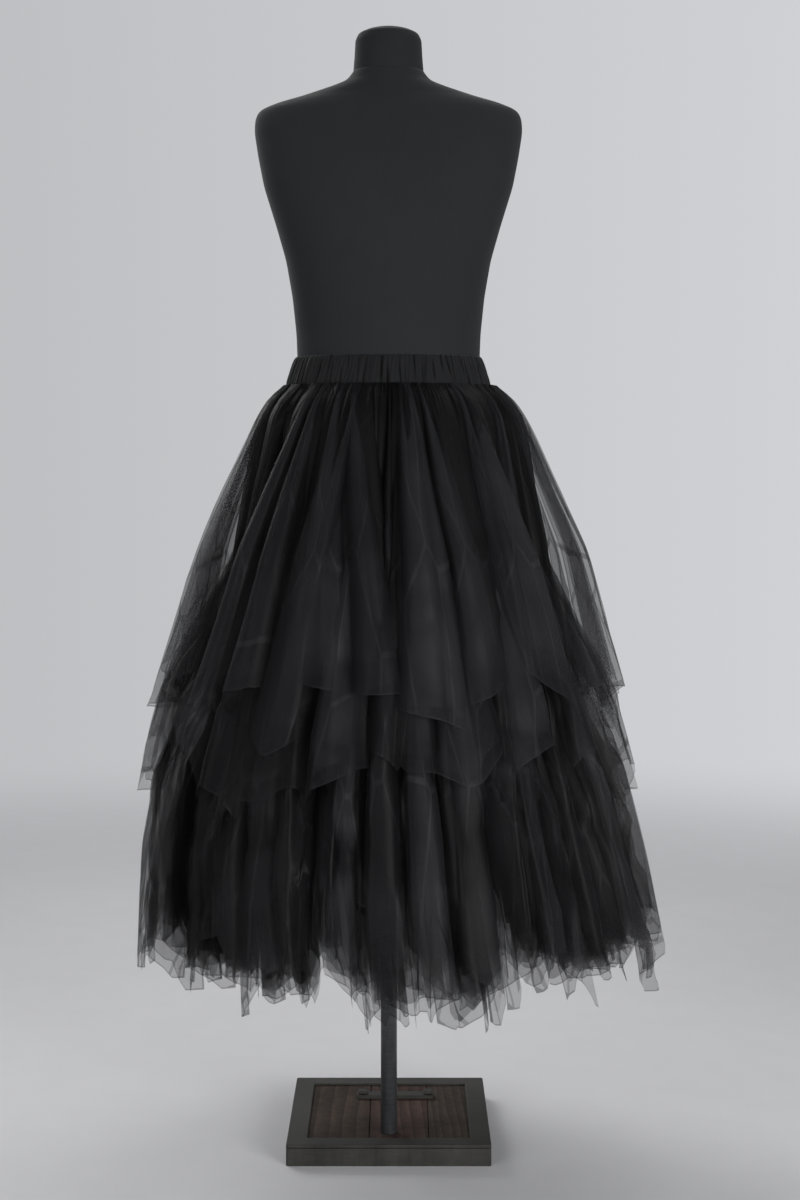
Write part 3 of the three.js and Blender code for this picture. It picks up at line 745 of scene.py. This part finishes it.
def waistBand():
    # A ring of plain cotton, its wall puffed out between narrow pinches of uneven place, slant, depth
    # and length, where each pinch is a bell-shaped notch across and a flatter one along its line
    random = np.random.default_rng(61)
    angle = fullTurn(band["columns"])
    share = np.linspace(0, 1, band["rows"])[:, None]
    z = band["z"][-1] - (band["z"][-1] - band["z"][0]) * share + 0 * angle
    notch = np.zeros_like(z)
    for k in range(band["pinches"]):
        place = (k + random.uniform(-band["uneven"], band["uneven"])) * 2 * math.pi / band["pinches"]
        slant, width = random.normal(0, band["slant"]), random.uniform(*band["pinchWidth"])
        middle, length = random.choice(band["pinchAt"]), random.uniform(*band["pinchLength"])
        away = (angle - place - slant * (share - 0.5) + math.pi) % (2 * math.pi) - math.pi
        along = np.exp(-(np.abs(share - middle) / length) ** 3)
        depth = random.uniform(*band["pinchDepth"])
        notch = np.maximum(notch, depth * along * np.exp(-(np.abs(away) / width) ** 1.4))
    seam = np.sin(unit((share - band["seam"]) / band["betweenSeams"]) * math.pi) ** 0.35
    swell = 1 + band["swell"] * np.sin(23 * angle + 1) * np.sin(9 * angle)
    outward = band["puff"] * (seam * swell - band["pinchIn"] * notch)
    outward = outward + band["ripple"] * np.sin(140 * angle + 5 * share)
    z = z - band["edgeDip"] * notch * (share < 0.2) * (1 - 5 * share)
    across, deep = (np.interp(z, band["z"], band[key]) for key in ("across", "deep"))
    grid = ovalPoints(angle, z, outward, across, deep)
    u, v = angle / (2 * math.pi) * band["cutWidth"], share * band["cutHeight"]
    uv = np.stack(np.broadcast_arrays(u, v), -1)
    faces = gridFaces(band["rows"], band["columns"], True)
    piece = addMesh("gatheredBand", grid.reshape(-1, 3), faces, uv.reshape(-1, 2))
    # Painted shade: each point's tone is darker by the depth of the pinch there
    keepForPoints(piece, "tone", 1 - band["pinchPaintedShade"] * notch)
    wall = piece.modifiers.new("wall", "SOLIDIFY")
    wall.thickness, wall.offset = band["thick"], -1
    dress(piece, "band", "band_cotton", "waistband")


waistBand()
print("waistband gathered")


# Dress form. Cloth radius turns an angle into a distance round, for the knit and its seams

form = {
    "z": [0.900, 0.912, 0.975, 1.035, 1.085, 1.135, 1.171, 1.208, 1.260, 1.312, 1.361, 1.416, 1.457, 1.494,
          1.512, 1.5235, 1.534, 1.543, 1.558, 1.567, 1.580],
    "across": [0.158, 0.165, 0.168, 0.162, 0.148, 0.1335, 0.1315, 0.1327, 0.1378, 0.1466, 0.1605, 0.1776,
               0.1856, 0.1914, 0.1905, 0.186, 0.161, 0.129, 0.083, 0.060, 0.0506],
    "deep": [0.110, 0.117, 0.120, 0.118, 0.111, 0.102, 0.100, 0.101, 0.105, 0.109, 0.111, 0.108, 0.101,
             0.090, 0.082, 0.075, 0.068, 0.062, 0.056, 0.053, 0.050],
    "forward": [0, 0, 0, 0, 0, 0, 0, 0.002, 0.004, 0.006, 0.007, 0.006, 0.004, 0.001, 0, 0, 0, 0, 0, 0, 0],
    "square": [2, 2, 2, 2, 2, 2, 2, 2, 2.3, 2.4, 2.5, 2.6, 2.6, 2.6, 2.5, 2.4, 2.3, 2.2, 2.1, 2, 2],
    "around": 144, "rows": 220, "soften": 0.006, "clothRadius": 0.15,
}
neck = {"z": [1.5788, 1.600, 1.624, 1.633, 1.6385, 1.6425, 1.6436],
        "radius": [0.0504, 0.0486, 0.0472, 0.043, 0.031, 0.015, 0.0],
        "around": 96, "rows": 60, "soften": 0.0018, "clothRadius": 0.05, "tip": 0.0003}
pole = {"around": 64, "bevel": 0.001}


def closedLathe(name, grid, around, up):
    # A stack of rings closed by a fan at each end, its uv the distances around and up
    rows, columns = grid.shape[:2]
    points = np.concatenate([grid.reshape(-1, 3), grid[0].mean(0)[None], grid[-1].mean(0)[None]])
    quads = gridFaces(rows, columns, True)[:, ::-1]
    sides = np.concatenate([quads[:, [0, 1, 2]], quads[:, [0, 2, 3]]])
    here, there = np.arange(columns), (np.arange(columns) + 1) % columns
    low, high = rows * columns, rows * columns + 1
    top = (rows - 1) * columns
    caps = np.concatenate([
        np.stack([np.full(columns, low), there, here], 1),
        np.stack([np.full(columns, high), top + here, top + there], 1)])
    uv = np.stack(np.broadcast_arrays(around, up), -1)
    uvs = np.concatenate([uv.reshape(-1, 2), [[0, 0], [0, 0]]])
    return addMesh(name, points, np.concatenate([sides, caps]), uvs)


def alongProfile(table, keys, count, soften):
    # Columns of a profile table sampled evenly along its line and rounded off, each as one column
    z, first = np.array(table["z"]), np.array(table[keys[0]])
    reach = np.concatenate([[0], np.cumsum(np.hypot(np.diff(z), np.diff(first)))])
    return {key: eased(reach, table[key], count, soften)[1][:, None] for key in ["z", *keys]}


def formTorso():
    # Squared oval sections whose half widths, half depths and squareness run smoothly up the form
    line = alongProfile(form, ["across", "deep", "forward", "square"], form["rows"], form["soften"])
    angle = fullTurn(form["around"])
    power = 2 / line["square"]
    sine, cosine = np.sin(angle), np.cos(angle)
    x = line["across"] * np.sign(sine) * np.abs(sine) ** power
    y = -line["deep"] * np.sign(cosine) * np.abs(cosine) ** power - line["forward"]
    grid = np.stack([x, y, line["z"] + 0 * x], -1)
    torso = closedLathe("jerseyTorso", grid, angle * form["clothRadius"], line["z"])
    dress(torso, "jersey", "form_jersey", "form_torso")


def formNeck():
    # A round cap: its profile turned about the pole's axis
    line = alongProfile(neck, ["radius"], neck["rows"], neck["soften"])
    angle = fullTurn(neck["around"])
    radius = np.clip(line["radius"], neck["tip"], None)
    grid = np.stack([radius * np.sin(angle), -radius * np.cos(angle), line["z"] + 0 * angle], -1)
    cap = closedLathe("jerseyNeck", grid, angle * neck["clothRadius"], line["z"])
    dress(cap, "jersey", "form_jersey", "form_neck")


def standPole():
    # A plain round tube between the pole solid's two ends
    low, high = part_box("stand_pole")
    radius = (high.x - low.x) / 2
    angle = fullTurn(pole["around"])
    height = np.array([low.z, low.z + pole["bevel"], high.z - pole["bevel"], high.z])[:, None]
    ring = radius - np.array([pole["bevel"], 0, 0, pole["bevel"]])[:, None]
    grid = np.stack([ring * np.sin(angle), -ring * np.cos(angle), height + 0 * angle], -1)
    dress(closedLathe("steelPole", grid, angle * radius, height), "poleSteel", "dark_steel", "stand_pole")


formTorso()
formNeck()
standPole()

# Stand's base: a welded frame of steel angle, and the planks, bar and bolts with their edges rounded over

frameSizes = {
    "corner": 0.0035, "edge": 0.0014, "flange": 0.030, "wall": 0.003, "foot": 0.0006, "seamDrop": 0.0048,
    "seamDepth": 0.0009, "seamLip": 0.0007, "seamFloor": 0.0002, "sharpest": 0.0003,
    "perEdge": 5, "perCorner": 7,
}


def steelFrame():
    # One closed surface: the angle's section, a list of insets and heights, set round rounded squares
    rails = [f"base_rail_{side}" for side in ("front", "right", "back", "left")]
    lows, highs = zip(*(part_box(rail) for rail in rails))
    low, high = np.min(lows, axis=0), np.max(highs, axis=0)
    size, top = frameSizes, high[2]
    edge, wall, lip, floor = size["edge"], size["wall"], size["seamLip"], size["seamFloor"]
    turn = np.linspace(0, math.pi / 2, size["perEdge"])
    seam = top - size["seamDrop"]
    inset = np.concatenate([
        [size["foot"], 0, 0, size["seamDepth"], size["seamDepth"], 0],
        edge - edge * np.cos(turn), size["flange"] - edge + edge * np.sin(turn),
        [size["flange"], wall, wall]])
    height = np.concatenate([
        [0, size["foot"], seam - lip, seam - floor, seam + floor, seam + lip],
        top - edge + edge * np.sin(turn), top - edge + edge * np.cos(turn), [top - wall, top - wall, 0]])
    centre, half = (low + high) / 2, (high[0] - low[0]) / 2
    radius = np.maximum(size["corner"] - inset, size["sharpest"])[:, None]
    steps = np.linspace(0, math.pi / 2, size["perCorner"])
    angle = (steps[None, :] + np.arange(4)[:, None] * math.pi / 2).ravel()[None, :]
    quarter = np.repeat(np.arange(4) * math.pi / 2 + math.pi / 4, size["perCorner"])[None, :]
    reach = (half - inset[:, None] - radius) * math.sqrt(2)
    x = centre[0] + reach * np.cos(quarter) + radius * np.cos(angle)
    y = centre[1] + reach * np.sin(quarter) + radius * np.sin(angle)
    grid = np.stack([x, y, height[:, None] + 0 * x], -1)
    rows, columns = grid.shape[:2]
    quads = gridFaces(rows, columns, True)
    here, there = np.arange(columns), (np.arange(columns) + 1) % columns
    closing = np.stack([(rows - 1) * columns + here, here, there, (rows - 1) * columns + there], 1)
    faces = np.concatenate([quads, closing])[:, ::-1]
    welded = addMesh("steelFrame", grid.reshape(-1, 3), faces, smooth=False)
    dress(welded, "steel", "dark_steel", *rails)


basePieces = {
    "base_tie_bar": ("tieBar", "steel", 0.0008), "base_bolt_left": ("leftBolt", "steel", 0.0010),
    "base_bolt_right": ("rightBolt", "steel", 0.0010), "base_plank_left": ("leftPlank", "plankLeft", 0.0016),
    "base_plank_middle": ("middlePlank", "plankMiddle", 0.0016),
    "base_plank_right": ("rightPlank", "plankRight", 0.0016),
}
rounding = {"segments": 3, "sharperThan": 0.6, "sameWithin": 0.00002, "flatWithin": 0.01}


def basePiece(node, name, finish, radius):
    # A copy of the solid with its doubled points merged, and its sharp edges bevelled to the radius
    solid = bmesh.new()
    solid.from_mesh(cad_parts[node].data)
    bmesh.ops.remove_doubles(solid, verts=solid.verts, dist=rounding["sameWithin"])
    bmesh.ops.dissolve_limit(solid, angle_limit=rounding["flatWithin"], verts=solid.verts, edges=solid.edges)
    mesh = bpy.data.meshes.new(name)
    solid.to_mesh(mesh)
    solid.free()
    piece = bpy.data.objects.new(name, mesh)
    bpy.context.scene.collection.objects.link(piece)
    bevel = piece.modifiers.new("roundedEdges", "BEVEL")
    bevel.width, bevel.segments = radius, rounding["segments"]
    bevel.limit_method, bevel.angle_limit = "ANGLE", rounding["sharperThan"]
    bevel.harden_normals = True
    dress(piece, finish, "dark_steel" if finish == "steel" else "dark_wood", node)


steelFrame()
for node, (name, finish, radius) in basePieces.items():
    basePiece(node, name, finish, radius)
print("form and stand dressed")


# Studio: round pale floor that fades into an even pale surround, and soft lights

studio = {
    "floorRadius": 4.2, "innerRing": 0.02, "rings": 40, "spokes": 96, "fadeFrom": 1.1, "fadeTo": 0.97,
    "floorGrey": (0.58, 0.58, 0.595), "patches": (1.5, 0.03),
    "surround": (0.575, 0.58, 0.60), "surroundLight": 0.50, "brighterRight": 0.14, "tiltOver": 0.3,
}


def roundFloor():
    # Rings of points round the middle, whose cover falls from one to none between two distances
    rings, spokes = studio["rings"], studio["spokes"]
    radius = np.linspace(studio["innerRing"], studio["floorRadius"], rings)[:, None]
    angle = np.linspace(0, 2 * math.pi, spokes + 1)[None, :-1]
    grid = np.stack([radius * np.cos(angle), radius * np.sin(angle), 0 * radius * angle], -1)
    points = np.concatenate([grid.reshape(-1, 3), [[0, 0, 0]]])
    quads = gridFaces(rings, spokes, True)[:, ::-1]
    here = np.arange(spokes)
    middle = np.stack([np.full(spokes, len(points) - 1), here, (here + 1) % spokes], 1)
    floor = addMesh("paleFloor", points, np.concatenate([quads[:, [0, 1, 2]], quads[:, [0, 2, 3]], middle]))
    material, tree, shader = newMaterial("paleFloor", **{"Roughness": 0.9, "Specular IOR Level": 0.1})
    toned(tree, shader, studio["floorGrey"], patchy(tree, *studio["patches"])["Tone"])
    away = addNode(tree, "ShaderNodeVectorMath", {0: objectVector(tree)}, operation="LENGTH").outputs["Value"]
    fade = addNode(tree, "ShaderNodeMapRange", {
        "Value": away, "From Min": studio["fadeFrom"], "From Max": studio["floorRadius"] * studio["fadeTo"],
        "To Min": 1.0, "To Max": 0.0}, interpolation_type="SMOOTHERSTEP").outputs[0]
    tree.links.new(fade, shader.inputs["Alpha"])
    floor.data.materials.append(material)


def surround():
    # An even pale grey, a little brighter to the right, that gives less light than it shows
    world = bpy.data.worlds.new("studioAir")
    bpy.context.scene.world = world
    world.use_nodes = True
    tree, light = world.node_tree, world.node_tree.nodes["Background"]
    seen = addNode(tree, "ShaderNodeLightPath").outputs["Is Camera Ray"]
    direction = addNode(tree, "ShaderNodeTexCoord").outputs["Generated"]
    sideways = addNode(tree, "ShaderNodeSeparateXYZ", {0: direction}).outputs[0]
    level = scaled(tree, seen, 1 - studio["surroundLight"], studio["surroundLight"])
    tilt = addNode(tree, "ShaderNodeMapRange", {
        "Value": sideways, "From Min": -studio["tiltOver"], "From Max": studio["tiltOver"],
        "To Min": 1 - studio["brighterRight"], "To Max": 1 + studio["brighterRight"]}).outputs[0]
    light.inputs[0].default_value = (*studio["surround"], 1)
    tree.links.new(product(tree, level, tilt), light.inputs[1])


def softLight(name, place, aim, size, watts, spread=180):
    # A square light that the camera doesn't see, turned from its place towards its aim
    light = bpy.data.lights.new(name, "AREA")
    light.shape, light.size, light.energy, light.spread = "SQUARE", size, watts, math.radians(spread)
    lamp = bpy.data.objects.new(name, light)
    bpy.context.scene.collection.objects.link(lamp)
    lamp.location = place
    lamp.visible_camera = False
    offset = np.array(aim) - np.array(place)
    tip = math.acos(-offset[2] / np.linalg.norm(offset))
    lamp.rotation_euler = (tip, 0, math.atan2(offset[1], offset[0]) - math.pi / 2)


roundFloor()
surround()
softLight("keyLight", (2.3, -3.2, 1.05), (0, 0, 0.70), 2.0, 26, 70)
softLight("fillLight", (-2.6, -3.0, 1.2), (0, 0, 0.8), 2.6, 60)
softLight("backLight", (-2.0, 2.6, 3.0), (0, 0, 0.8), 2.4, 24, 80)
softLight("topLight", (0.8, 1.5, 3.9), (0.2, 1.5, 0), 2.2, 30)

scene = bpy.context.scene
scene.view_settings.view_transform = "Standard"
scene.cycles.transparent_max_bounces = 12
scene.cycles.max_bounces = 3
scene.cycles.diffuse_bounces = 1

camera = bpy.data.objects.new("studioCamera", bpy.data.cameras.new("studioCamera"))
scene.collection.objects.link(camera)
camera.data.lens = front["lens"]
camera.location = front["place"]
camera.rotation_euler = (math.radians(90 - front["pitchDown"]), 0, 0)
scene.camera = camera

print("studio set")
